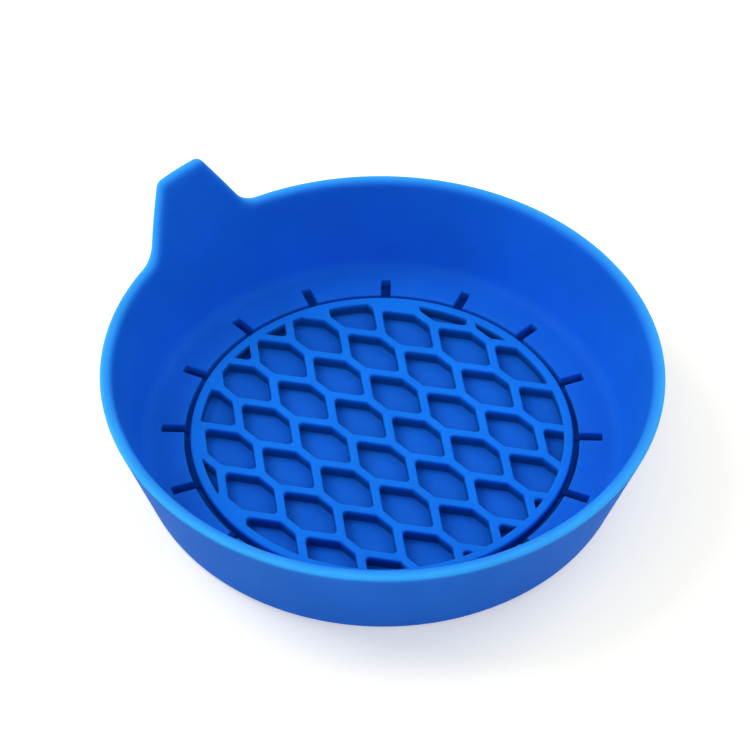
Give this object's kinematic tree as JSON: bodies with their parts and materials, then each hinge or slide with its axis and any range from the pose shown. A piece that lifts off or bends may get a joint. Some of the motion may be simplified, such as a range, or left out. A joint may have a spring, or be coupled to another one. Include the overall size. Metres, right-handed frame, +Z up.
{
  "type": "cup holder coaster",
  "caption": "Shallow round soft dish with a flared wall, a pull tab and blind drain slots, and a round lift-out honeycomb grid that keeps a cup's foot off the spill.",
  "frame": {"origin": "centre of the flat underside", "axes": "+Z up out of the dish, +Y from the centre towards the pull tab, +X to the right of the tab seen from above with the tab away"},
  "size_m": [0.08, 0.083, 0.0264],
  "materials": {
    "dish_silicone": "satin, slightly translucent blue silicone",
    "grid_silicone": "satin, slightly translucent blue silicone"
  },
  "bodies": {
    "dish": {"dish": "dish_silicone"},
    "grid": {"grid": "grid_silicone"}
  },
  "joints": [
    {"name": "grid_lift", "type": "slide", "parent": "dish", "child": "grid", "axis": [0, 0, 1], "range_m": [0, 0.03]}
  ]
}
